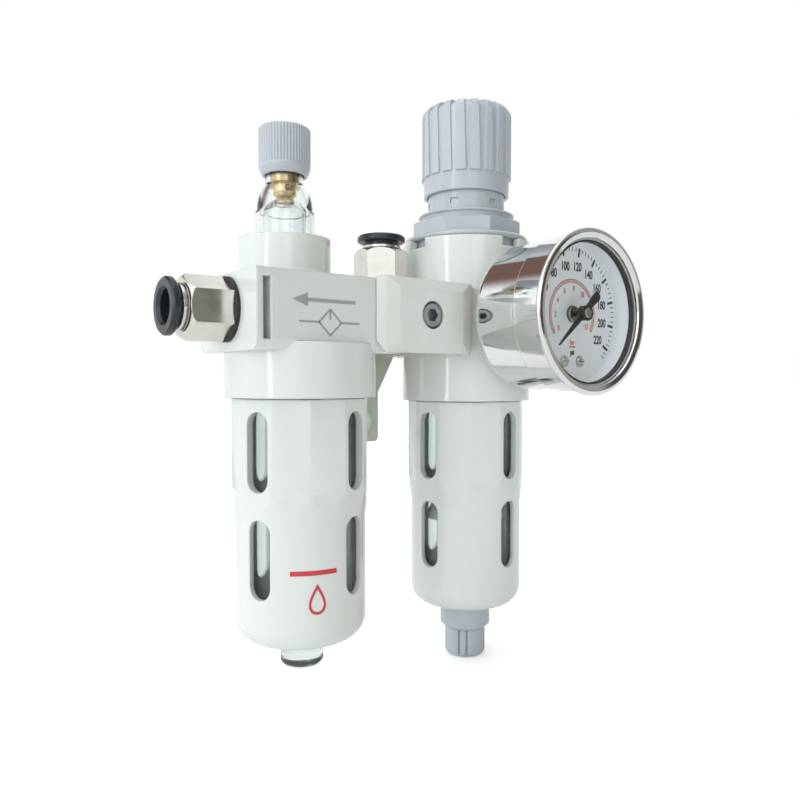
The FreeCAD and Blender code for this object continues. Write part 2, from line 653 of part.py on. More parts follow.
def pressure_adjuster():
    """The screw that the knob turns, the sliding spring seat, and the range spring."""
    flange_low = BONNET_TOP + SEAT
    flange_top = flange_low + SCREW_FLANGE
    shank = cyl(SCREW_R, SCREW_LOW, flange_low)
    flange = cyl(7.0, flange_low, flange_top)
    hexagon = prism(6, DRIVE_FLATS / 2, flange_top, KNOB_TOP - 3.6 - KNOB_TRAVEL)
    on_regulator("adjusting_screw", shank.fuse([flange, hexagon]))
    seat_low = SEAT_TOP - SEAT_THICK
    seat = cyl(SEAT_R, seat_low, SEAT_TOP)
    ears = box(-SPRING_ROOM_R - 0.5, SPRING_ROOM_R + 0.5, -1.2, 1.2, seat_low, SEAT_TOP)
    seat = seat.fuse(ears).cut(cyl(SCREW_R + FIT, seat_low - 1, SEAT_TOP + 1))
    on_regulator("spring_seat", seat)
    plate_top = CHAMBER_LOW + DIAPHRAGM_THICK + PLATE_THICK
    on_regulator("range_spring",
                 helix_spring(SPRING_R, SPRING_WIRE, plate_top + 0.05, seat_low - 0.05, SPRING_TURNS))


def valve():
    """Diaphragm with its plate, the poppet it pushes, the valve spring and its guide."""
    on_regulator("diaphragm", tube(CHAMBER_R - CLEAR, STEM_R + FIT, CHAMBER_LOW + 0.02,
                                   CHAMBER_LOW + DIAPHRAGM_THICK))
    plate_low = CHAMBER_LOW + DIAPHRAGM_THICK
    plate = cyl(PLATE_R, plate_low + 0.02, plate_low + PLATE_THICK)
    on_regulator("diaphragm_plate", plate.cut(cyl(STEM_R, plate_low - 1, plate_low + PLATE_THICK - 0.5)))
    poppet_top = VALVE_SEAT_Z - 0.05
    poppet_low = poppet_top - POPPET_THICK
    guide_top = REG_SEAM + SPIGOT_TOP + 4.4
    stem = cyl(STEM_R, guide_top - 2.9, plate_low + PLATE_THICK - 0.6)
    on_regulator("valve_poppet", stem.fuse(cyl(POPPET_R, poppet_low, poppet_top)))
    guide_low = REG_SEAM + SPIGOT_TOP + SEAT
    guide = tube(VALVE_BORE_R - FIT, STEM_R + FIT, guide_low, guide_top)
    port = cyl(1.1, guide_low - 1, guide_top + 1, 4.4)
    on_regulator("valve_guide", guide.cut(around(port, 6)))
    on_regulator("valve_spring", helix_spring(2.4, 0.35, guide_top + 0.05, poppet_low - 0.05, 3.0))


# ---- filter --------------------------------------------------------------------------------------
def filter_parts():
    top = REG_SEAM + SPIGOT_TOP
    deflector = turned((5.0, top - 3.2), (12.4, top - 7.0), (12.4, top - 8.4), (ELEMENT_R + 0.6, top - 8.4),
                       (5.0, top - 4.6))
    louvre = box(-0.5, 0.5, -13.5, -10.2, top - 9.5, top - 5.0)
    on_regulator("air_deflector", deflector.cut(around(facing(louvre, V(0, 1, 0), 25), 10)))
    on_regulator("filter_element", tube(ELEMENT_R, ELEMENT_BORE, ELEMENT_LOW, ELEMENT_TOP))
    cap = turned((0, ELEMENT_LOW - 3.4), (10.0, ELEMENT_LOW - 2.8), (11.8, ELEMENT_LOW - 5.0),
                 (12.4, ELEMENT_LOW - 5.0), (12.4, ELEMENT_LOW - 4.2), (10.4, ELEMENT_LOW - 0.1),
                 (0, ELEMENT_LOW - 0.1))
    rod = cyl(ROD_R, ELEMENT_LOW - 1.0, top - SEAT)
    on_regulator("filter_baffle", cap.fuse(rod))


def filter_bowl():
    shank_r = 4.6
    on_regulator("filter_guard", guard(REG_TURN, REG_SEAM, DRAIN_R + 0.4))
    on_regulator("filter_bowl", bowl(REG_SEAM, shank_r + FIT))
    on_regulator("filter_bowl_seal", bowl_seal(REG_SEAM))
    floor = REG_SEAM - GUARD_LENGTH + GUARD_WALL + BOWL_GAP
    head_top = floor - SEAT
    drain = turned(
        (3.0, DRAIN_STEP), (DRAIN_R - 1.2, DRAIN_STEP), (DRAIN_R, DRAIN_STEP + 1.2), (DRAIN_R, head_top),
        (shank_r, head_top), (shank_r, floor + BOWL_WALL + 2.4), (1.4, floor + BOWL_WALL + 2.4),
        (1.4, floor + BOWL_WALL), (3.0, floor + BOWL_WALL),
    )
    on_regulator("drain_body", drain)
    stem_top = floor + BOWL_WALL - 1.0
    knob_top = DRAIN_STEP - 0.2
    knob = turned(
        (1.6, DRAIN_KNOB_LOW), (DRAIN_KNOB_R - 1.6, DRAIN_KNOB_LOW),
        quarter_up((DRAIN_KNOB_R - 1.6, DRAIN_KNOB_LOW + 1.6), 1.6), (DRAIN_KNOB_R, knob_top),
        (2.8, knob_top), (2.8, stem_top), (1.6, stem_top),
    )
    slit = box(-0.35, 0.35, -DRAIN_KNOB_R - 1, -DRAIN_KNOB_R + 0.7, DRAIN_KNOB_LOW + 1.0, knob_top + 0.01)
    slits = [spun(slit, a + half) for a in (-48, 42, 132, 222) for half in (-11, 11)]
    on_regulator("drain_knob", knob.cut(slits))
    valve_low = floor + BOWL_WALL + 2.4 + 0.1
    pin = cyl(1.2, stem_top + 1.1 + 0.1, valve_low).fuse(cyl(2.6, valve_low, valve_low + 1.4))
    on_regulator("drain_valve", pin)


# ---- joining pieces --------------------------------------------------------------------------------
def rectangle(half_x, low, high, depth):
    points = [V(-half_x, -depth, low), V(half_x, -depth, low), V(half_x, -depth, high),
              V(-half_x, -depth, high), V(-half_x, -depth, low)]
    return Part.makePolygon(points)


def hooks(face):
    """Lips that reach into the pockets behind the two neighbouring port flanges."""
    lips = []
    for side in (-1, 1):
        inner = AXIS_PITCH / 2 - POCKET_OUT + CLEAR
        x0, x1 = sorted((side * inner, side * (inner + HOOK_THICK)))
        y0, y1 = sorted((face * (BLOCK_HALF_Y - HOOK_DEPTH), face * CLAMP_BACK))
        lips.append(box(x0, x1, y0, y1, POCKET_LOW + CLEAR, POCKET_TOP - CLEAR))
    return lips


def cap_screw(tip, head_top):
    """Socket cap screw along +Z with its head at the top."""
    shank = cyl(SCREW_SHANK_R, tip, head_top - SCREW_HEAD_HEIGHT)
    head = turned((0, head_top - SCREW_HEAD_HEIGHT), (SCREW_HEAD_R, head_top - SCREW_HEAD_HEIGHT),
                  (SCREW_HEAD_R, head_top - 0.4), (SCREW_HEAD_R - 0.4, head_top), (0, head_top))
    socket = prism(6, SOCKET_FLATS / 2, head_top - 2.0, head_top + 1)
    return shank.fuse(head).cut(socket)


def spacer():
    half_x = AXIS_PITCH / 2 - BLOCK_HALF_X - SEAT
    top = BLOCK_TOP - 0.2
    block = box(-half_x, half_x, -SPACER_HALF_Y, SPACER_HALF_Y, BLOCK_LOW + 0.8, top)
    flow = cyl_x(FLOW_R, -half_x - 1, half_x + 1, 0, FLOW_Z)
    port = cyl(PORT_R, top - SPIGOT_LENGTH - SEAT, top + 1, 0, TAKEOFF_Y)
    channel = cyl(3.2, FLOW_Z, top, 0, TAKEOFF_Y)
    grooves = []
    for side in (-1, 1):
        x0, x1 = sorted((side * (half_x - 1.1), side * (half_x + 1)))
        groove = cyl_x(FLOW_R + 2.7, x0, x1, 0, FLOW_Z).cut(cyl_x(FLOW_R + 0.9, x0, x1, 0, FLOW_Z))
        grooves.append(groove)
        s0, s1 = sorted((side * (half_x - 1.0), side * (half_x + SEAT)))
        ring = cyl_x(FLOW_R + 2.6, s0, s1, 0, FLOW_Z).cut(cyl_x(FLOW_R + 1.0, s0, s1, 0, FLOW_Z))
        on_unit("spacer_seal_left" if side < 0 else "spacer_seal_right", ring)
    depth = SPACER_HALF_Y - FLOW_R - 1.4
    taps = [cyl_y(SCREW_SHANK_R + FIT, -SPACER_HALF_Y - 1, -SPACER_HALF_Y + depth, 0, FLOW_Z),
            cyl_y(SCREW_SHANK_R + FIT, SPACER_HALF_Y - depth, SPACER_HALF_Y + 1, 0, FLOW_Z)]
    on_unit("line_spacer", block.cut([flow, port, channel] + grooves + taps))


def front_clamp():
    back = rectangle(CLAMP_HALF, CLAMP_FACE_LOW, CLAMP_TOP - 0.4, CLAMP_BACK)
    crease = rectangle(CLAMP_CREASE_HALF, CLAMP_LOW, CLAMP_TOP, CLAMP_CREASE)
    face = rectangle(CLAMP_FACE_HALF, CLAMP_FACE_LOW, CLAMP_FACE_TOP, CLAMP_FRONT)
    rear = Part.makeLoft([back, crease], True, True)
    front = Part.makeLoft([crease, face], True, True)
    head_seat = -CLAMP_FRONT + 0.3 + SCREW_HEAD_HEIGHT + SEAT
    head_room = cyl_y(SCREW_HEAD_R + 0.3, -CLAMP_FRONT - 1, head_seat, 0, FLOW_Z)
    pad = box(-6, 6, -CLAMP_BACK - 0.5, -SPACER_HALF_Y - SEAT, FLOW_Z - 6, FLOW_Z + 6)
    plate = rear.fuse([front, pad] + hooks(-1))
    shank_hole = cyl_y(SCREW_SHANK_R + CLEAR, -CLAMP_FRONT, -SPACER_HALF_Y, 0, FLOW_Z)
    on_unit("front_clamp", plate.cut([head_room, shank_hole]))
    tip = SPACER_HALF_Y - (SPACER_HALF_Y - FLOW_R - 1.4) + 0.4
    screw = facing(cap_screw(tip, CLAMP_FRONT - 0.3), V(1, 0, 0), 90)
    on_unit("clamp_screw", moved(screw, 0, 0, FLOW_Z))


def wall_bracket():
    """Rear clamp with the slotted tab that screws to the wall."""
    back = WALL_GAP
    front = back - BRACKET_THICK
    half = CLAMP_HALF
    outline = [(-TAB_HALF, TAB_LOW), (TAB_HALF, TAB_LOW), (TAB_HALF, TAB_SHOULDER), (half, HEAD_SHOULDER),
               (half, BLOCK_TOP), (-half, BLOCK_TOP), (-half, HEAD_SHOULDER), (-TAB_HALF, TAB_SHOULDER),
               (-TAB_HALF, TAB_LOW)]
    plate = Part.Face(Part.makePolygon([V(x, front, z) for x, z in outline]))
    plate = plate.extrude(V(0, BRACKET_THICK, 0))
    corners = [e for e in plate.Edges
               if e.BoundBox.YLength > BRACKET_THICK / 2 and abs(e.BoundBox.ZMax - TAB_LOW) < 1e-6]
    plate = plate.makeFillet(1.6, corners)
    head = box(-half, half, CLAMP_BACK, front + 0.5, POCKET_LOW, BLOCK_TOP - 1.0)
    pad = box(-6, 6, SPACER_HALF_Y + SEAT, CLAMP_BACK + 0.5, FLOW_Z - 6, FLOW_Z + 6)
    slot_z = -SEAM_Z
    ends = WALL_SLOT_LENGTH / 2 - WALL_SLOT_R
    slot = box(-ends, ends, front - 1, back + 1, slot_z - WALL_SLOT_R, slot_z + WALL_SLOT_R)
    rounds = [cyl_y(WALL_SLOT_R, front - 1, back + 1, x, slot_z) for x in (-ends, ends)]
    head_room = cyl_y(SCREW_HEAD_R + 0.3, back - 0.5 - SCREW_HEAD_HEIGHT - SEAT, back + 1, 0, FLOW_Z)
    shank_hole = cyl_y(SCREW_SHANK_R + CLEAR, SPACER_HALF_Y, back, 0, FLOW_Z)
    bracket = plate.fuse([head, pad] + hooks(1)).cut([slot, head_room, shank_hole] + rounds)
    on_unit("wall_bracket", bracket)
    tip = FLOW_R + 1.4 + 0.4
    screw = facing(cap_screw(tip, back - 0.5), V(1, 0, 0), -90)
    on_unit("bracket_screw", moved(screw, 0, 0, FLOW_Z))


# ---- push-in fittings ----------------------------------------------------------------------------
def fitting(name, place, hex_turn):
    """Hexagon push-in fitting for 8 mm tube. place() carries each piece from the local frame,
    in which the port face is z = 0 and the tube leaves along +Z."""
    spigot_r = PORT_R - FIT
    seat_r = PORT_R - SEAT
    hexagon = prism(6, HEX_FLATS / 2, HEX_START, HEX_END, hex_turn)
    envelope = turned(
        (0, HEX_START), (8.2, HEX_START), (8.2, HEX_END - 2.6),
        ((7.9, HEX_END - 1.1), (6.5, HEX_END)), (0, HEX_END),
    )
    barrel = turned(
        (0, -SPIGOT_LENGTH), (spigot_r, -SPIGOT_LENGTH), (spigot_r, -0.3), (seat_r, -0.3),
        (seat_r, HEX_START + 0.1), (6.3, HEX_START + 0.1), (6.3, HEX_END - 0.1),
        (5.35, HEX_END + 0.1), (5.35, HEX_END + 0.35), (5.75, HEX_END + 0.35),
        (5.75, MOUTH - 0.15), (5.6, MOUTH), (0, MOUTH),
    )
    bores = [cyl(3.0, -8, 4), cyl(TUBE_R + FIT, 3.0, 9.6), cyl(5.0, 9.5, MOUTH + 1)]
    body = hexagon.common(envelope).fuse(barrel).cut(bores)
    place(name + "_fitting", body)
    place(name + "_face_seal", tube(RING_R, seat_r + 0.05, 0.05, HEX_START - 0.05))
    collar = turned(
        (TUBE_R + 0.15, 10.6), (4.9, 10.6), (4.9, COLLAR_FLANGE_LOW),
        (COLLAR_FLANGE_R - 0.3, COLLAR_FLANGE_LOW), (COLLAR_FLANGE_R, COLLAR_FLANGE_LOW + 0.3),
        (COLLAR_FLANGE_R, COLLAR_END - 0.5), (COLLAR_FLANGE_R - 0.5, COLLAR_END),
        (TUBE_R + 0.8, COLLAR_END), (TUBE_R + 0.15, COLLAR_END - 0.8),
    )
    place(name + "_release_collar", collar)


def place_outlet(name, shape):
    turned_shape = facing(shape, V(0, 1, 0), -90)
    on_lubricator(name, moved(turned_shape, -BLOCK_HALF_X, 0, FLOW_Z))


def place_inlet(name, shape):
    turned_shape = facing(shape, V(0, 1, 0), 90)
    on_regulator(name, moved(turned_shape, BLOCK_HALF_X, 0, FLOW_Z))


def place_takeoff(name, shape):
    on_unit(name, moved(shape, 0, TAKEOFF_Y, BLOCK_TOP - 0.2))


# ---- gauge ----------------------------------------------------------------------------------------
def place_gauge(name, shape):
    on_regulator(name, moved(facing(shape, V(1, 0, 0), 90), 0, 0, GAUGE_Z))


def gauge():
    neck_r = GAUGE_PORT_R - FIT
    socket = cyl(neck_r, GAUGE_PORT_FLOOR + 2, BODY_R + 0.2)
    socket = socket.fuse([prism(6, 6.0, BODY_R + 0.2, GAUGE_BACK - SEAT),
                          cyl(4.0, GAUGE_BACK - SEAT, GAUGE_BACK + 6.5)])
    place_gauge("gauge_socket", socket.cut(cyl(1.2, 0, GAUGE_BACK + 5)))
    inner = GAUGE_R - GAUGE_WALL
    case_front = LENS_BACK - SEAT
    case = turned(
        (4.1, GAUGE_BACK), (GAUGE_R - GAUGE_ROUND, GAUGE_BACK),
        quarter_up((GAUGE_R - GAUGE_ROUND, GAUGE_BACK + GAUGE_ROUND), GAUGE_ROUND),
        (GAUGE_R, case_front), (inner, case_front), (inner, GAUGE_BACK + GAUGE_ROUND),
        (GAUGE_R - GAUGE_ROUND, GAUGE_BACK + GAUGE_WALL), (4.1, GAUGE_BACK + GAUGE_WALL),
    )
    place_gauge("gauge_case", case)
    sleeve_in = GAUGE_R + 0.05
    lip_r = DIAL_R - 0.1
    bezel = turned(
        (sleeve_in, GAUGE_SEAM), (GAUGE_SLEEVE_R - 0.15, GAUGE_SEAM), (GAUGE_SLEEVE_R, GAUGE_SEAM + 0.3),
        (GAUGE_SLEEVE_R, GAUGE_FRONT - 1.4), (GAUGE_RIM_R - 0.3, GAUGE_FRONT - 1.4),
        ((GAUGE_RIM_R, GAUGE_FRONT - 0.8), (GAUGE_RIM_R - 0.5, GAUGE_FRONT - 0.1)),
        (GAUGE_SLEEVE_R - 0.2, GAUGE_FRONT), (lip_r + 0.3, GAUGE_FRONT - 0.35), (lip_r, GAUGE_FRONT - 0.8),
        (sleeve_in, GAUGE_FRONT - 0.8),
    )
    place_gauge("gauge_bezel", bezel)
    place_gauge("gauge_lens", cyl(GAUGE_R - 0.1, LENS_BACK, GAUGE_FRONT - 0.9))
    shaft_room = 2.3
    dial = tube(DIAL_R + 0.2, shaft_room, DIAL_FACE - 0.7, DIAL_FACE)
    rim = tube(DIAL_R + 0.2, DIAL_R - 0.5, DIAL_FACE - 0.7, LENS_BACK - 0.2)
    place_gauge("gauge_dial", dial.fuse(rim))
    shaft_r = 0.6
    plate = box(-9, 9, -5, 5, DIAL_FACE - 6.0, DIAL_FACE - 1.2)
    pillar = cyl(shaft_room - 0.15, DIAL_FACE - 2, DIAL_FACE + 0.8)
    movement = plate.fuse(pillar).cut(cyl(shaft_r + FIT, DIAL_FACE - 7, DIAL_FACE + 2))
    place_gauge("gauge_movement", movement)
    coil = Part.makeTorus(13.5, 1.8, V(0, 0, GAUGE_BACK + 5), V(0, 0, 1), 0, 360, 270)
    place_gauge("bourdon_tube", spun(coil, 135))
    pointer(shaft_r)


def pointer(shaft_r):
    level = POINTER_LEVEL
    blade_outline = [(POINTER_REACH, 0.12), (3.0, 0.75), (-3.0, 0.85), (-POINTER_TAIL + 1.3, 1.3),
                     (-POINTER_TAIL + 1.3, -1.3), (-3.0, -0.85), (3.0, -0.75), (POINTER_REACH, -0.12),
                     (POINTER_REACH, 0.12)]
    blade = Part.Face(Part.makePolygon([V(x, y, level) for x, y in blade_outline])).extrude(V(0, 0, 0.5))
    end = cyl(1.3, level, level + 0.5, -POINTER_TAIL + 1.3)
    hub = cyl(2.0, level - 0.4, level + 1.4)
    shaft = cyl(shaft_r, DIAL_FACE - 5.6, level)
    whole = blade.fuse([end, hub, shaft])
    place_gauge("gauge_pointer", spun(whole, POINTER_ZERO))


# ---- the whole unit -----------------------------------------------------------------------------------
def build():
    lubricator_body()
    regulator_body()
    lubricator_bowl()
    siphon()
    sight_dome()
    drop_knob()
    bonnet()
    panel_nut()
    pressure_knob()
    pressure_adjuster()
    valve()
    filter_parts()
    filter_bowl()
    spacer()
    front_clamp()
    wall_bracket()
    fitting("outlet", place_outlet, 0.0)
    fitting("takeoff", place_takeoff, -36.0)
    fitting("inlet", place_inlet, 0.0)
    gauge()
    os.makedirs("parts", exist_ok=True)
    for name, shape in NODES.items():
        shape.exportStep("parts/" + name + ".step")


build()
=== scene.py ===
import json
import math

import bmesh
import bpy
from mathutils import Matrix, Vector


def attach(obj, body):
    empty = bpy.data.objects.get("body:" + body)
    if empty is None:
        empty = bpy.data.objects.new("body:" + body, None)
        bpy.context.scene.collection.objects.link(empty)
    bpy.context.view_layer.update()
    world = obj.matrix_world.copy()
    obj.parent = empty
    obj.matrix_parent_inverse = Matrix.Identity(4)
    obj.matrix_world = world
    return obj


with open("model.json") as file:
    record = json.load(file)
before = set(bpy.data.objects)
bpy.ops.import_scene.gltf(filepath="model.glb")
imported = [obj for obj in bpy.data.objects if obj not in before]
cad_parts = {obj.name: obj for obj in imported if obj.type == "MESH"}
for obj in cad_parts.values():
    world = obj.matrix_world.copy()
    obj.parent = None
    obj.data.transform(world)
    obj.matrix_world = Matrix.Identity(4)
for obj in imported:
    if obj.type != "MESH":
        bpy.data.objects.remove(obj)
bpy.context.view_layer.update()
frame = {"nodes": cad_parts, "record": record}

# ---- measures, in millimetres in the unit's own frame --------------------------------------------
MM = 0.001
SEAM = 9.35                       # height of the lubricator's bowl seam
LUBRICATOR = (-30.0, -23.0)       # axis of the lubricator's bowl
GUARD_R = 17.25                   # lubricator guard, outside
AIR_LINE = 31.5                   # height of the air line
PANEL = (-32.0, -39.61, AIR_LINE - 0.6)   # middle of the lubricator's front panel
GAUGE_CENTRE = (30.0, 31.75)
DIAL_Y = -65.0                    # face of the dial
POINTER_Y = -70.12                # front of the pointer
GASKET_Y = -69.9                  # back of the lens gasket
FLOOR_Z = -74.1
INK_THICK = 0.04

# ---- view and lights, in metres and degrees --------------------------------------------------------
CAMERA_PLACE = (-0.12530, -0.19096, 0.01462)
CAMERA_DOWN = 1.84
CAMERA_TURN = -37.5
CAMERA_LENS = 32.02
UNIT_MIDDLE = (0, -0.03, 0.0)     # what both lamps point at


# ---- writing shader nodes ------------------------------------------------------------------------
class Tree:
    """Writes nodes into a material, a group or the world."""

    def __init__(self, tree):
        self.tree = tree
        tree.nodes.clear()

    def node(self, kind, inputs=None, **settings):
        made = self.tree.nodes.new("ShaderNode" + kind)
        for key, value in settings.items():
            setattr(made, key, value)
        for key, value in (inputs or {}).items():
            self.feed(made.inputs[key], value)
        return made

    def feed(self, socket, value):
        if isinstance(value, bpy.types.NodeSocket):
            self.tree.links.new(value, socket)
        else:
            socket.default_value = value

    def math(self, operation, first, second=0.0, clamp=False):
        made = self.node("Math", {0: first, 1: second}, operation=operation, use_clamp=clamp)
        return made.outputs[0]

    def span(self, value, low, high, out_low=0.0, out_high=1.0, smooth=False):
        made = self.node("MapRange", {
            "Value": value, "From Min": low, "From Max": high, "To Min": out_low, "To Max": out_high,
        })
        if smooth:
            made.interpolation_type = "SMOOTHSTEP"
        return made.outputs["Result"]

    def noise(self, vector, scale, detail=3.0, rough=0.5):
        made = self.node("TexNoise", {
            "Vector": vector, "Scale": scale, "Detail": detail, "Roughness": rough,
        })
        return made.outputs["Fac"]

    def blend(self, factor, first, second, mode="MIX"):
        made = self.node("Mix", data_type="RGBA", blend_type=mode)
        self.feed(made.inputs[0], factor)
        self.feed(made.inputs[6], first)
        self.feed(made.inputs[7], second)
        return made.outputs[2]

    def dot(self, first, second):
        made = self.node("VectorMath", {0: first, 1: second}, operation="DOT_PRODUCT")
        return made.outputs["Value"]

    def stretch(self, vector, scale):
        made = self.node("VectorMath", {0: vector, 1: scale}, operation="MULTIPLY")
        return made.outputs[0]


def shared(name, inputs, outputs):
    """An empty node group with named sockets; returns its tree, its inputs and its output node."""
    group = bpy.data.node_groups.new(name, "ShaderNodeTree")
    for label, kind, default in inputs:
        socket = group.interface.new_socket(name=label, in_out="INPUT", socket_type=kind)
        socket.default_value = default
    for label, kind in outputs:
        group.interface.new_socket(name=label, in_out="OUTPUT", socket_type=kind)
    tree = Tree(group)
    given = group.nodes.new("NodeGroupInput").outputs
    result = group.nodes.new("NodeGroupOutput").inputs
    return group, tree, given, result


FLOAT = "NodeSocketFloat"
COLOUR = "NodeSocketColor"
VECTOR = "NodeSocketVector"


def soft_edges_group():
    """Rounds edges in the shading and marks where they are."""
    group, tree, given, result = shared(
        "soft edges", [("Radius", FLOAT, 0.0004)], [("Normal", VECTOR), ("Edge", FLOAT)])
    bevel = tree.node("Bevel", {"Radius": given["Radius"]}, samples=6)
    face = tree.node("NewGeometry").outputs["Normal"]
    bend = tree.dot(bevel.outputs["Normal"], face)
    tree.feed(result["Normal"], bevel.outputs["Normal"])
    tree.feed(result["Edge"], tree.span(bend, 0.985, 0.80))
    return group


def moulding_group():
    """Moulded plastic: flow marks in the colour, fine skin in the height, uneven gloss."""
    group, tree, given, result = shared(
        "moulding",
        [("Colour", COLOUR, (0.8, 0.8, 0.8, 1)), ("Skin Scale", FLOAT, 2500.0),
         ("Cloud", FLOAT, 0.05), ("Gloss", FLOAT, 0.2), ("Gloss Spread", FLOAT, 0.08)],
        [("Colour", COLOUR), ("Roughness", FLOAT), ("Height", FLOAT)])
    place = tree.node("TexCoord").outputs["Object"]
    cloud = tree.noise(place, 45.0, 4.0, 0.6)
    flow = tree.noise(tree.stretch(place, (1.0, 1.0, 0.25)), 160.0, 3.0, 0.55)
    shade = tree.math("ADD", tree.span(cloud, 0.3, 0.7, -1.0, 1.0), tree.span(flow, 0.3, 0.7, -0.6, 0.6))
    shade = tree.math("MULTIPLY", shade, given["Cloud"])
    level = tree.math("ADD", 1.0, shade)
    tone = tree.node("CombineColor", {0: level, 1: level, 2: level}).outputs[0]
    tree.feed(result["Colour"], tree.blend(1.0, given["Colour"], tone, "MULTIPLY"))
    skin = tree.node("TexNoise", {
        "Vector": place, "Scale": given["Skin Scale"], "Detail": 2.0, "Roughness": 0.6,
    }).outputs["Fac"]
    tree.feed(result["Height"], skin)
    uneven = tree.span(tree.noise(place, 90.0, 5.0, 0.65), 0.3, 0.7, -0.5, 0.5)
    uneven = tree.math("MULTIPLY", uneven, given["Gloss Spread"])
    tree.feed(result["Roughness"], tree.math("ADD", given["Gloss"], uneven, clamp=True))
    return group


def grime_group():
    """Painted shade in corners and creases, from ambient occlusion, broken into patches, as a mask."""
    group, tree, given, result = shared(
        "painted corner shade", [("Reach", FLOAT, 0.002), ("Amount", FLOAT, 0.4)], [("Mask", FLOAT)])
    open_sky = tree.node("AmbientOcclusion", {"Distance": given["Reach"]}, samples=4).outputs["AO"]
    place = tree.node("TexCoord").outputs["Object"]
    patchy = tree.span(tree.noise(place, 380.0, 4.0, 0.7), 0.32, 0.62, 0.35, 1.0)
    corner = tree.span(open_sky, 0.75, 0.25, 0.0, 1.0)
    mask = tree.math("MULTIPLY", tree.math("MULTIPLY", corner, patchy), given["Amount"], clamp=True)
    tree.feed(result["Mask"], mask)
    return group


def turning_group():
    """Fine lathe lines round an axis, and the smears of handling, for machined metal."""
    group, tree, given, result = shared(
        "turning marks",
        [("Axis", VECTOR, (0.0, 0.0, 1.0)), ("Pitch", FLOAT, 9000.0), ("Smear", FLOAT, 0.5)],
        [("Height", FLOAT), ("Smear", FLOAT)])
    place = tree.node("TexCoord").outputs["Object"]
    along = tree.dot(place, given["Axis"])
    lines = tree.node("CombineXYZ", {0: tree.math("MULTIPLY", along, given["Pitch"])}).outputs[0]
    cut = tree.noise(lines, 1.0, 2.0, 0.6)
    tree.feed(result["Height"], cut)
    smear = tree.noise(tree.stretch(place, (1.0, 1.0, 2.2)), 210.0, 5.0, 0.7)
    smear = tree.span(smear, 0.42, 0.68)
    tree.feed(result["Smear"], tree.math("MULTIPLY", smear, given["Smear"], clamp=True))
    return group


SOFT_EDGES = soft_edges_group()
MOULDING = moulding_group()
PAINTED_CORNER_SHADE = grime_group()
TURNING = turning_group()


# ---- materials -----------------------------------------------------------------------------------
def new_material(name):
    material = bpy.data.materials.new(name)
    material.use_nodes = True
    return material, Tree(material.node_tree)


def finish_surface(tree, surface):
    tree.feed(tree.node("OutputMaterial").inputs["Surface"], surface)


def use(tree, group, inputs):
    made = tree.tree.nodes.new("ShaderNodeGroup")
    made.node_tree = group
    for key, value in inputs.items():
        tree.feed(made.inputs[key], value)
    return made.outputs


def plastic(name, colour, gloss=0.22, cloud=0.02, skin=0.00001, skin_scale=2600.0, edge=0.0005,
            edge_highlight=0.12, shade_amount=0.35, shade_colour=(0.20, 0.19, 0.15, 1), coat=0.0, spread=0.08):
    """Injection-moulded plastic with rounded edges, a painted highlight along them, a fine skin and painted
    shade in its corners.
    """
    material, tree = new_material(name)
    skin_of = use(tree, MOULDING, {
        "Colour": (*colour, 1), "Skin Scale": skin_scale, "Cloud": cloud, "Gloss": gloss,
        "Gloss Spread": spread})
    edges = use(tree, SOFT_EDGES, {"Radius": edge})
    corner_shade = use(tree, PAINTED_CORNER_SHADE, {"Reach": 0.0016, "Amount": shade_amount})
    # painted highlight: edges found by the bevel are lightened in colour, more strongly on the dark
    # plastics
    pale = tuple(min(1.0, c * (1 + edge_highlight)) for c in colour) + (1,)
    base = tree.blend(edges["Edge"], skin_of["Colour"], pale)
    # painted shade: the corner mask darkens the colour towards a dark brown-grey, and it also raises the
    # roughness
    base = tree.blend(corner_shade["Mask"], base, shade_colour)
    rough = tree.math("ADD", skin_of["Roughness"], tree.math("MULTIPLY", corner_shade["Mask"], 0.4), clamp=True)
    bump = tree.node("Bump", {
        "Strength": 1.0, "Distance": skin, "Height": skin_of["Height"], "Normal": edges["Normal"]})
    shader = tree.node("BsdfPrincipled", {
        "Base Color": base, "Roughness": rough, "Normal": bump.outputs[0],
        "Coat Weight": coat, "Coat Roughness": 0.06})
    finish_surface(tree, shader.outputs[0])
    return material


def metal(name, colour, dark, rough=0.16, axis=(0, 0, 1), pitch=9000.0, lines=0.0000015, smear=0.5,
          edge=0.0003, shade_amount=0.4):
    """Plated or machined metal with lathe lines, handling smears and painted shade in its corners."""
    material, tree = new_material(name)
    marks = use(tree, TURNING, {"Axis": axis, "Pitch": pitch, "Smear": smear})
    edges = use(tree, SOFT_EDGES, {"Radius": edge})
    corner_shade = use(tree, PAINTED_CORNER_SHADE, {"Reach": 0.0014, "Amount": shade_amount})
    base = tree.blend(tree.math("MULTIPLY", marks["Smear"], 0.35), (*colour, 1), (*dark, 1))
    # painted shade: the corner mask darkens the metal towards near black, and it also raises the roughness
    base = tree.blend(corner_shade["Mask"], base, (0.05, 0.045, 0.04, 1))
    gloss = tree.math("ADD", rough, tree.math("MULTIPLY", marks["Smear"], 0.14))
    gloss = tree.math("ADD", gloss, tree.math("MULTIPLY", corner_shade["Mask"], 0.3), clamp=True)
    bump = tree.node("Bump", {
        "Strength": 1.0, "Distance": lines, "Height": marks["Height"], "Normal": edges["Normal"]})
    shader = tree.node("BsdfPrincipled", {
        "Base Color": base, "Metallic": 1.0, "Roughness": gloss, "Normal": bump.outputs[0]})
    finish_surface(tree, shader.outputs[0])
    return material


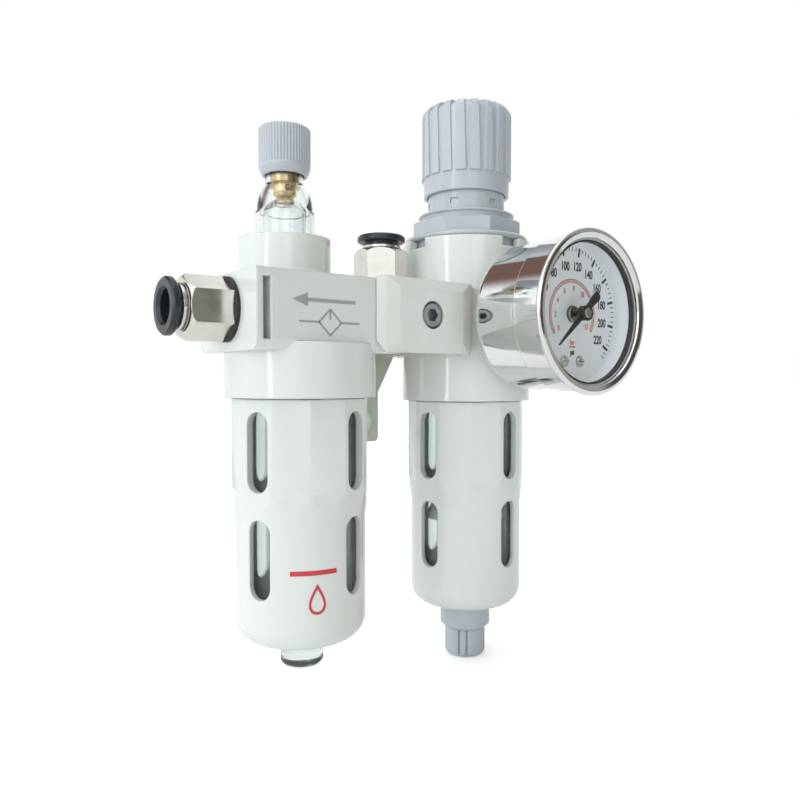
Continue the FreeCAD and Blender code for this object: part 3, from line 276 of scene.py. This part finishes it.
def clear(name, colour, rough=0.03, ior=1.49, wave=0.00002, haze=0.05, passing=0.9):
    """Clear moulded plastic with faint flow waves and a patchy haze."""
    material, tree = new_material(name)
    place = tree.node("TexCoord").outputs["Object"]
    flow = tree.noise(tree.stretch(place, (1.0, 1.0, 0.35)), 130.0, 2.0, 0.5)
    patch = tree.span(tree.noise(place, 260.0, 4.0, 0.7), 0.45, 0.75, 0.0, haze)
    gloss = tree.math("ADD", patch, rough, clamp=True)
    bump = tree.node("Bump", {"Strength": 1.0, "Distance": wave, "Height": flow})
    tint = tree.blend(tree.span(flow, 0.3, 0.7), (*colour, 1), (*[c * 0.97 for c in colour], 1))
    path = tree.node("LightPath").outputs
    soft_ray = tree.math("MAXIMUM", path["Is Shadow Ray"], path["Is Diffuse Ray"])
    cover = tree.math("SUBTRACT", 1.0, tree.math("MULTIPLY", soft_ray, passing))
    shader = tree.node("BsdfPrincipled", {
        "Base Color": tint, "Roughness": gloss, "IOR": ior, "Transmission Weight": 1.0,
        "Alpha": cover, "Normal": bump.outputs[0]})
    finish_surface(tree, shader.outputs[0])
    return material


def ink(name, colour, rough=0.5, worn=0.06):
    """Printed ink: slightly uneven cover and gloss."""
    material, tree = new_material(name)
    place = tree.node("TexCoord").outputs["Object"]
    speck = tree.noise(place, 3200.0, 3.0, 0.6)
    wide = tree.noise(place, 240.0, 3.0, 0.6)
    pale = tuple(c + (0.7 - c) * worn for c in colour) + (1,)
    cover = tree.math("MULTIPLY", tree.span(speck, 0.45, 0.7), tree.span(wide, 0.3, 0.7, 0.4, 1.0))
    base = tree.blend(cover, (*colour, 1), pale)
    gloss = tree.span(wide, 0.3, 0.7, rough - 0.06, rough + 0.06)
    bump = tree.node("Bump", {"Strength": 1.0, "Distance": 0.000004, "Height": speck})
    shader = tree.node("BsdfPrincipled", {
        "Base Color": base, "Roughness": gloss, "Normal": bump.outputs[0]})
    finish_surface(tree, shader.outputs[0])
    return material


def porous(name, colour):
    """Sintered filter plastic: packed grains."""
    material, tree = new_material(name)
    place = tree.node("TexCoord").outputs["Object"]
    grains = tree.node("TexVoronoi", {"Vector": place, "Scale": 3200.0}).outputs["Distance"]
    shade = tree.span(grains, 0.0, 0.7, 1.0, 0.72)
    tone = tree.node("CombineColor", {0: shade, 1: shade, 2: shade}).outputs[0]
    base = tree.blend(1.0, (*colour, 1), tone, "MULTIPLY")
    rough = tree.span(grains, 0.0, 0.7, 0.7, 0.95)
    bump = tree.node("Bump", {
        "Strength": 0.8, "Distance": 0.00008, "Height": tree.math("SUBTRACT", 1.0, grains)})
    shader = tree.node("BsdfPrincipled", {
        "Base Color": base, "Roughness": rough, "Normal": bump.outputs[0]})
    finish_surface(tree, shader.outputs[0])
    return material


WHITE = (0.745, 0.765, 0.735)
GREY = (0.49, 0.525, 0.57)
# in the plastics below, the edge setting paints a highlight along edges and the corner setting paints shade
# into corners
MATERIALS = {
    "body_plastic": plastic("body white", WHITE, gloss=0.14, coat=0.45, edge=0.0010, edge_highlight=0.16),
    "guard_plastic": plastic("guard white", WHITE, gloss=0.16, coat=0.40, edge=0.0007, edge_highlight=0.16),
    "spacer_plastic": plastic("spacer white", (0.72, 0.745, 0.705), gloss=0.2, edge=0.0005),
    "clamp_plastic": plastic("clamp white", (0.725, 0.75, 0.71), gloss=0.2, edge=0.0004, coat=0.2),
    "bracket_metal": plastic("bracket paint", (0.60, 0.615, 0.54), gloss=0.34, skin=0.00003,
                             skin_scale=1500.0, edge=0.0005),
    "knob_plastic": plastic("knob grey", GREY, gloss=0.24, cloud=0.03, edge=0.0004, edge_highlight=0.35,
                            coat=0.25),
    "bonnet_plastic": plastic("bonnet grey", (0.50, 0.535, 0.565), gloss=0.26, cloud=0.03,
                              edge=0.0004, edge_highlight=0.35, coat=0.25),
    "collar_plastic": plastic("collar black", (0.016, 0.021, 0.028), gloss=0.34, cloud=0.1,
                              edge=0.0003, edge_highlight=1.2, shade_amount=0.15),
    "seal_rubber": plastic("seal rubber", (0.012, 0.013, 0.014), gloss=0.5, cloud=0.15,
                           skin=0.00002, edge=0.0002, edge_highlight=0.6, shade_amount=0.25),
    "inner_plastic": plastic("inner white", (0.70, 0.72, 0.68), gloss=0.4, edge=0.0002),
    "dial_white": plastic("dial white", (0.93, 0.955, 0.985), gloss=0.42, cloud=0.01, skin=0.000003,
                          edge=0.0001, shade_amount=0.1),
    "filter_media": porous("filter grains", (0.80, 0.80, 0.76)),
    "clear_bowl": clear("bowl clear", (0.88, 0.93, 0.91), rough=0.04),
    "clear_dome": clear("dome clear", (0.96, 0.98, 0.98), rough=0.02),
    "gauge_lens": clear("lens clear", (0.985, 0.99, 0.99), rough=0.0, wave=0.000002, haze=0.01,
                        passing=1.0),
    "nickel": metal("nickel", (0.74, 0.71, 0.66), (0.40, 0.375, 0.33), rough=0.17),
    "gauge_chrome": metal("gauge chrome", (0.80, 0.805, 0.80), (0.62, 0.62, 0.60), rough=0.055,
                          axis=(0, 1, 0), pitch=5000.0, lines=0.0000008, smear=0.35, edge=0.00025),
    "brass": metal("brass", (0.78, 0.56, 0.26), (0.45, 0.29, 0.12), rough=0.22),
    "spring_steel": metal("spring steel", (0.55, 0.55, 0.56), (0.3, 0.3, 0.3), rough=0.3),
    "screw_steel": metal("screw steel", (0.30, 0.30, 0.305), (0.10, 0.10, 0.10), rough=0.32,
                         axis=(0, 1, 0)),
    "plate_metal": metal("plate metal", (0.72, 0.72, 0.73), (0.5, 0.5, 0.5), rough=0.3),
    "pointer_black": ink("pointer paint", (0.012, 0.012, 0.013), rough=0.4),
}
BLACK_INK = ink("black print", (0.02, 0.02, 0.022))
ORANGE_INK = ink("orange print", (0.62, 0.21, 0.12), worn=0.25)
RED_INK = ink("red print", (0.62, 0.035, 0.06), rough=0.35)
GREY_INK = ink("grey print", (0.36, 0.37, 0.36), rough=0.4)


# ---- smooth shading of the fixed pieces ------------------------------------------------------------
def smoothing_tree(limit_deg):
    """Welds split corners and shades smoothly across edges flatter than the limit."""
    group = bpy.data.node_groups.new("smooth by angle", "GeometryNodeTree")
    group.interface.new_socket(name="Geometry", in_out="INPUT", socket_type="NodeSocketGeometry")
    group.interface.new_socket(name="Geometry", in_out="OUTPUT", socket_type="NodeSocketGeometry")
    start = group.nodes.new("NodeGroupInput")
    end = group.nodes.new("NodeGroupOutput")
    forget = group.nodes.new("GeometryNodeRemoveAttribute")
    forget.inputs["Name"].default_value = "custom_normal"
    weld = group.nodes.new("GeometryNodeMergeByDistance")
    weld.inputs["Distance"].default_value = 0.000002
    smooth = group.nodes.new("GeometryNodeSetShadeSmooth")
    smooth.domain = "FACE"
    sharp = group.nodes.new("GeometryNodeSetShadeSmooth")
    sharp.domain = "EDGE"
    sharp.inputs["Shade Smooth"].default_value = False
    angle = group.nodes.new("GeometryNodeInputMeshEdgeAngle")
    steep = group.nodes.new("FunctionNodeCompare")
    steep.operation = "GREATER_THAN"
    steep.inputs[1].default_value = math.radians(limit_deg)
    link = group.links.new
    link(angle.outputs["Unsigned Angle"], steep.inputs[0])
    link(steep.outputs[0], sharp.inputs["Selection"])
    link(start.outputs[0], forget.inputs["Geometry"])
    link(forget.outputs[0], weld.inputs["Geometry"])
    link(weld.outputs[0], smooth.inputs["Geometry"])
    link(smooth.outputs[0], sharp.inputs["Geometry"])
    link(sharp.outputs[0], end.inputs[0])
    return group


SMOOTH = smoothing_tree(24)
SLOTS = {row["node"]: row["material_slot"] for row in frame["record"]["subparts"]}


def smooth_shade(obj):
    modifier = obj.modifiers.new("smooth by angle", "NODES")
    modifier.node_group = SMOOTH
    weighted = obj.modifiers.new("weighted normals", "WEIGHTED_NORMAL")
    weighted.keep_sharp = True
    weighted.weight = 80


for node_name, node_object in frame["nodes"].items():
    for material_slot in node_object.material_slots:
        material_slot.material = MATERIALS[SLOTS[node_name]]
    smooth_shade(node_object)


# ---- making pieces -----------------------------------------------------------------------------------
def piece(name, verts, faces, material, body, smooth=True, limit=35):
    """A mesh object from points in millimetres, riding on a body."""
    mesh = bpy.data.meshes.new(name)
    mesh.from_pydata([Vector(v) * MM for v in verts], [], faces)
    mesh.validate()
    mesh.update()
    obj = bpy.data.objects.new(name, mesh)
    bpy.context.scene.collection.objects.link(obj)
    clean = bmesh.new()
    clean.from_mesh(mesh)
    bmesh.ops.remove_doubles(clean, verts=clean.verts, dist=0.000001)
    bmesh.ops.recalc_face_normals(clean, faces=clean.faces)
    clean.to_mesh(mesh)
    clean.free()
    if smooth:
        mesh.shade_smooth()
        mesh.set_sharp_from_angle(angle=math.radians(limit))
    mesh.materials.append(material)
    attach(obj, body)
    return obj


def lathe(profile, segments=96, centre=(0, 0, 0), axis="z"):
    """Points and faces of a closed (r, h) profile spun about an axis."""
    verts, faces = [], []
    count = len(profile)
    for i in range(segments):
        a = 2 * math.pi * i / segments
        for r, h in profile:
            flat = (r * math.cos(a), r * math.sin(a))
            if axis == "z":
                verts.append((centre[0] + flat[0], centre[1] + flat[1], centre[2] + h))
            elif axis == "y":
                verts.append((centre[0] + flat[0], centre[1] + h, centre[2] + flat[1]))
            else:
                verts.append((centre[0] + h, centre[1] + flat[0], centre[2] + flat[1]))
    for i in range(segments):
        j = (i + 1) % segments
        for k in range(count):
            m = (k + 1) % count
            faces.append((i * count + k, j * count + k, j * count + m, i * count + m))
    return verts, faces


class Sheet:
    """Collects thin raised shapes drawn in (u, v), each with a thickness, and places them."""

    def __init__(self, place):
        self.place = place
        self.verts = []
        self.faces = []

    def add(self, outline, thick=INK_THICK):
        """A closed outline, listed counter-clockwise, as a thin slab."""
        start = len(self.verts)
        count = len(outline)
        for level in (0.0, thick):
            self.verts += [self.place(u, v, level) for u, v in outline]
        self.faces.append(tuple(start + i for i in reversed(range(count))))
        self.faces.append(tuple(start + count + i for i in range(count)))
        for i in range(count):
            j = (i + 1) % count
            self.faces.append((start + i, start + j, start + count + j, start + count + i))

    def band(self, inner, outer, first_deg, last_deg, steps, thick=INK_THICK):
        """A ring sector, as a strip of small slabs joined end to end."""
        rims = []
        for i in range(steps + 1):
            a = math.radians(first_deg + (last_deg - first_deg) * i / steps)
            rims.append(((inner * math.cos(a), inner * math.sin(a)),
                         (outer * math.cos(a), outer * math.sin(a))))
        start = len(self.verts)
        for low, high in rims:
            for level in (0.0, thick):
                self.verts.append(self.place(*low, level))
                self.verts.append(self.place(*high, level))
        for i in range(steps):
            a, b = start + 4 * i, start + 4 * i + 4
            self.faces += [(a + 2, a + 3, b + 3, b + 2), (a, b, b + 1, a + 1),
                           (a, a + 2, b + 2, b), (a + 1, b + 1, b + 3, a + 3)]
        end = start + 4 * steps
        self.faces += [(start, start + 1, start + 3, start + 2), (end, end + 2, end + 3, end + 1)]

    def bar(self, centre, length, width, turn_deg, thick=INK_THICK):
        a = math.radians(turn_deg)
        along = (math.cos(a) * length / 2, math.sin(a) * length / 2)
        across = (-math.sin(a) * width / 2, math.cos(a) * width / 2)
        u, v = centre
        self.add([(u - along[0] - across[0], v - along[1] - across[1]),
                  (u + along[0] - across[0], v + along[1] - across[1]),
                  (u + along[0] + across[0], v + along[1] + across[1]),
                  (u - along[0] + across[0], v - along[1] + across[1])], thick)

    def made(self, name, material, body, slot):
        return piece(name, self.verts, self.faces, material, body, smooth=False)


def lettering(name, words, material, body, place, heavy=0.0, squeeze=1.0):
    """Words as one mesh. words holds (text, u, v, height); place maps (u, v, level) to a point."""
    verts, faces = [], []
    for text, u, v, height in words:
        curve = bpy.data.curves.new(name, "FONT")
        curve.body = text
        curve.size = height / 0.72
        curve.align_x = "CENTER"
        curve.align_y = "CENTER"
        curve.extrude = 0.015
        curve.offset = heavy
        curve.resolution_u = 6
        holder = bpy.data.objects.new(name, curve)
        bpy.context.scene.collection.objects.link(holder)
        mesh = bpy.data.meshes.new_from_object(holder)
        start = len(verts)
        verts += [place(u + p.co.x * squeeze, v + p.co.y, p.co.z + 0.02) for p in mesh.vertices]
        faces += [tuple(start + i for i in f.vertices) for f in mesh.polygons]
        bpy.data.objects.remove(holder)
        bpy.data.meshes.remove(mesh)
        bpy.data.curves.remove(curve)
    return piece(name, verts, faces, material, body, smooth=False)


# ---- gauge face ----------------------------------------------------------------------------------------
SCALE_START = 216.0
DEGREES_PER_PSI = 1.125
PSI_LAST_TICK = 228
PSI_LAST_NUMBER = 220
PSI_PER_BAR = 14.504
BAR_LAST = 15
BAR_NUMBERS = (0, 2, 4, 6, 8, 10, 12, 15)
TICK_R = 18.2                     # outer end of the psi ticks
PSI_NUMBER_R = 13.0
BAR_TICK_R = 9.02
BAR_NUMBER_R = 6.9


def on_dial(u, v, level):
    """A point on the dial, from its centre."""
    return (GAUGE_CENTRE[0] + u, DIAL_Y - 0.01 - level, GAUGE_CENTRE[1] + v)


def scale_angle(psi):
    """Degrees counter-clockwise from the right, as a reader sees the dial."""
    return SCALE_START - DEGREES_PER_PSI * psi


def round_dial(radius, psi):
    a = math.radians(scale_angle(psi))
    return radius * math.cos(a), radius * math.sin(a)


def dial_print():
    """Two scales: black psi ticks outside, and an orange bar band inside."""
    ticks = Sheet(on_dial)
    for psi in range(0, PSI_LAST_TICK + 1, 4):
        inner, width = 17.1, 0.26
        if psi % 20 == 0:
            inner, width = 15.8, 0.68
        ticks.bar(round_dial((inner + TICK_R) / 2, psi), TICK_R - inner, width, scale_angle(psi))
    ticks.bar((0.1, -8.9), 2.4, 0.32, 0)
    ticks.made("psi_ticks", BLACK_INK, "unit", "dial_white")
    numbers = [(str(psi), *round_dial(PSI_NUMBER_R, psi), 2.35)
               for psi in range(0, PSI_LAST_NUMBER + 1, 20)]
    numbers.append(("psi", 0.1, -10.4, 1.5))
    lettering("psi_numbers", numbers, BLACK_INK, "unit", on_dial, heavy=0.09, squeeze=0.72)
    band = Sheet(on_dial)
    top = scale_angle(0)
    end = scale_angle(BAR_LAST * PSI_PER_BAR)
    band.band(9.30, 9.5, top, end, 72)
    band.band(8.55, 8.75, top, end, 72)
    for tenth in range(0, 10 * BAR_LAST + 1, 2):
        psi = tenth / 10 * PSI_PER_BAR
        width = 0.30 if tenth % 10 == 0 else 0.16
        band.bar(round_dial(BAR_TICK_R, psi), 0.8, width, scale_angle(psi))
    band.made("bar_ticks", ORANGE_INK, "unit", "dial_white")
    marks = [(str(bar), *round_dial(BAR_NUMBER_R, bar * PSI_PER_BAR), 1.55) for bar in BAR_NUMBERS]
    marks.append(("bar", 0.1, -7.7, 1.4))
    lettering("bar_numbers", marks, ORANGE_INK, "unit", on_dial, heavy=0.05, squeeze=0.75)


def cross_screw(name, u, v):
    """Domed screw head with a cross recess, on the dial."""
    rings = [(0.02, 1.0), (0.62, 1.0), (0.95, 0.9), (1.3, 0.66), (1.55, 0.3), (1.6, 0.0)]
    segments = 48
    verts, faces = [], []
    for r, h in rings:
        for i in range(segments):
            a = 2 * math.pi * i / segments
            x, z = r * math.cos(a), r * math.sin(a)
            in_cross = (abs(x) < 0.2 or abs(z) < 0.2) and r < 1.2
            verts.append(on_dial(u + x, v + z, h - (0.45 if in_cross else 0.0)))
    for k in range(len(rings) - 1):
        for i in range(segments):
            j = (i + 1) % segments
            faces.append((k * segments + i, k * segments + j, (k + 1) * segments + j,
                          (k + 1) * segments + i))
    faces.append(tuple(range(segments)))
    last = (len(rings) - 1) * segments
    faces.append(tuple(last + i for i in reversed(range(segments))))
    return piece(name, verts, faces, MATERIALS["nickel"], "unit", limit=50)


def gauge_details():
    """Print, screws, the gasket behind the lens, and the boss and cap at the pointer's centre."""
    dial_print()
    cross_screw("dial_screw_left", -3.2, -12.8)
    cross_screw("dial_screw_right", 3.2, -12.8)
    rings = (
        ("lens_gasket", [(18.55, -1.5), (19.0, -1.5), (19.0, 0.0), (18.55, 0.0)], GASKET_Y,
         "seal_rubber", "unit"),
        ("dial_boss", [(1.0, -0.9), (1.9, -0.9), (2.15, -0.65), (2.15, 0.0), (1.0, 0.0)], DIAL_Y - 0.03,
         "screw_steel", "unit"),
        ("pointer_ring", [(1.45, -0.35), (1.95, -0.35), (2.1, -0.2), (2.1, 0.0), (1.45, 0.0)], POINTER_Y,
         "pointer_black", "gauge_pointer"),
        ("pointer_cap", [(0.02, -0.42), (1.2, -0.42), (1.43, -0.25), (1.43, 0.0), (0.02, 0.0)], POINTER_Y,
         "nickel", "gauge_pointer"),
    )
    for name, profile, y, slot, body in rings:
        verts, faces = lathe(profile, 120, (GAUGE_CENTRE[0], y, GAUGE_CENTRE[1]), "y")
        piece(name, verts, faces, MATERIALS[slot], body)


# ---- lubricator markings ---------------------------------------------------------------------------------
def on_panel(u, v, level):
    """A point on the lubricator's front panel, from its middle."""
    return (PANEL[0] + u, PANEL[1] - level, PANEL[2] + v)


def flow_arrow():
    """Arrow for the direction of air, towards the outlet, above the lubricator's plain symbol."""
    mark = Sheet(on_panel)
    mark.bar((1.5, 2.6), 14.0, 0.9, 0)
    mark.add([(-9.6, 2.6), (-5.4, 0.9), (-5.4, 4.3)])
    line, side = 0.5, 2.3
    diamond_u, diamond_v = 1.0, -2.7
    for k in range(4):
        turn = 45 + 90 * k
        a = math.radians(turn)
        centre = (diamond_u + side * math.cos(a), diamond_v + side * math.sin(a))
        mark.bar(centre, 2 * side, line, turn + 90)
    mark.bar((diamond_u, -0.9), 2.2, line, 90)
    for away in (-6.0, 6.0):
        mark.bar((diamond_u + away, diamond_v), 5.6, line, 0)
    mark.made("flow_arrow", GREY_INK, "unit", "body_plastic")


def on_guard(u, v, level):
    """u is an arc length round the lubricator guard from straight ahead, v a height."""
    radius = GUARD_R + 0.02 + level
    a = u / GUARD_R
    return (LUBRICATOR[0] + radius * math.sin(a), LUBRICATOR[1] - radius * math.cos(a), SEAM + v)


def level_label():
    """Red bar at the lowest oil level, over a drop."""
    thick = 0.06
    mark = Sheet(on_guard)
    bar_steps, bar_left, bar_length, bar_low, bar_high = 14, -11.8, 12.0, -43.9, -42.7
    for i in range(bar_steps):
        u0 = bar_left + bar_length * i / bar_steps
        u1 = bar_left + bar_length * (i + 1) / bar_steps
        mark.add([(u0, bar_low), (u1, bar_low), (u1, bar_high), (u0, bar_high)], thick)
    drop_steps, drop_u, drop_v = 40, -5.0, -49.9
    outer, inner = [], []
    for i in range(drop_steps):
        a = 2 * math.pi * i / drop_steps
        wide = 3.0 * math.sin(a) * math.sin(a / 2) ** 1.3
        tall = -3.9 * math.cos(a)
        outer.append((drop_u + wide, drop_v - tall))
        inner.append((drop_u + wide * 0.72, drop_v - 0.3 - tall * 0.74))
    start = len(mark.verts)
    for level in (0.0, thick):
        mark.verts += [mark.place(u, v, level) for u, v in outer + inner]
    up = 2 * drop_steps
    for i in range(drop_steps):
        j = (i + 1) % drop_steps
        o0, o1 = start + i, start + j
        n0, n1 = o0 + drop_steps, o1 + drop_steps
        mark.faces += [(o0, o1, n1, n0), (o0 + up, n0 + up, n1 + up, o1 + up),
                       (o0, o0 + up, o1 + up, o1), (n0, n1, n1 + up, n0 + up)]
    mark.made("level_mark", RED_INK, "lubricator_bowl_unit", "guard_plastic")


gauge_details()
flow_arrow()
level_label()


# ---- studio --------------------------------------------------------------------------------------------
def studio_world():
    """White surroundings, brighter on the left and dimmer in front, with patches only for reflections."""
    world = bpy.data.worlds.new("studio")
    bpy.context.scene.world = world
    world.use_nodes = True
    tree = Tree(world.node_tree)
    look = tree.node("TexCoord").outputs["Generated"]

    def patch(direction, low, high):
        unit = Vector(direction).normalized()
        return tree.span(tree.dot(look, tuple(unit)), low, high, smooth=True)

    sky = tree.blend(patch((0, 0, 1), 0.2, 0.95), (0.97, 1.0, 0.98, 1), (1.14, 1.16, 1.17, 1))
    sky = tree.blend(patch((0.5, -0.85, 0.05), -0.1, 0.7), sky, (0.36, 0.37, 0.34, 1))
    sky = tree.blend(patch((-1.0, -0.15, 0.2), 0.5, 0.85), sky, (1.42, 1.50, 1.52, 1))
    path = tree.node("LightPath").outputs
    for direction, low, high, colour in (
            ((-0.1, 0.64, 0.75), 0.86, 0.97, (0.20, 0.12, 0.10, 1)),
            ((0.62, -0.78, 0.10), 0.94, 0.97, (0.07, 0.07, 0.06, 1)),
            ((-0.35, -0.90, 0.30), 0.965, 0.985, (1.9, 1.95, 2.0, 1))):
        only_mirrored = tree.math("MULTIPLY", patch(direction, low, high), path["Is Glossy Ray"])
        sky = tree.blend(only_mirrored, sky, colour)
    sky = tree.blend(path["Is Camera Ray"], sky, (1.0, 1.0, 1.0, 1))
    shader = tree.node("Background", {"Color": sky, "Strength": 1.0})
    tree.feed(tree.node("OutputWorld").inputs["Surface"], shader.outputs[0])


def area_light(name, place, target, size, power, colour=(1, 1, 1)):
    data = bpy.data.lights.new(name, "AREA")
    data.shape = "RECTANGLE"
    data.size, data.size_y = size
    data.energy = power
    data.color = colour
    light = bpy.data.objects.new(name, data)
    bpy.context.scene.collection.objects.link(light)
    light.location = Vector(place)
    light.rotation_euler = (Vector(target) - light.location).to_track_quat("-Z", "Y").to_euler()
    return light


def floor():
    """Pale floor that glows a little to the camera, so that it meets the white background."""
    mesh = bpy.data.meshes.new("floor")
    half = 4.0
    z = FLOOR_Z * MM
    mesh.from_pydata([(-half, -half, z), (half, -half, z), (half, half, z), (-half, half, z)], [],
                     [(0, 1, 2, 3)])
    obj = bpy.data.objects.new("floor", mesh)
    bpy.context.scene.collection.objects.link(obj)
    material, tree = new_material("studio floor")
    place = tree.node("TexCoord").outputs["Object"]
    grain = tree.noise(place, 700.0, 3.0, 0.6)
    base = tree.blend(tree.span(grain, 0.3, 0.7), (0.90, 0.90, 0.90, 1), (0.93, 0.93, 0.93, 1))
    shader = tree.node("BsdfPrincipled", {
        "Base Color": base, "Roughness": tree.span(grain, 0.3, 0.7, 0.7, 0.8),
        "Emission Color": base,
        "Emission Strength": tree.math("MULTIPLY", tree.node("LightPath").outputs["Is Camera Ray"], 0.42)})
    finish_surface(tree, shader.outputs[0])
    mesh.materials.append(material)


def camera():
    """Looks at the unit from its left front, a little downwards."""
    data = bpy.data.cameras.new("camera")
    data.sensor_width = 36.0
    data.lens = CAMERA_LENS
    data.clip_start = 0.005
    data.clip_end = 50.0
    obj = bpy.data.objects.new("camera", data)
    bpy.context.scene.collection.objects.link(obj)
    obj.location = CAMERA_PLACE
    obj.rotation_euler = (math.radians(90.0 - CAMERA_DOWN), 0.0, math.radians(CAMERA_TURN))
    bpy.context.scene.camera = obj


studio_world()
floor()
camera()
area_light("left strip", (-0.78, -0.23, 0.10), UNIT_MIDDLE, (0.07, 0.8), 1.0, (0.98, 1.0, 1.0))
area_light("top softbox", (-0.10, -0.10, 0.70), UNIT_MIDDLE, (0.5, 0.5), 0.7)
view = bpy.context.scene.view_settings
view.view_transform = "Standard"
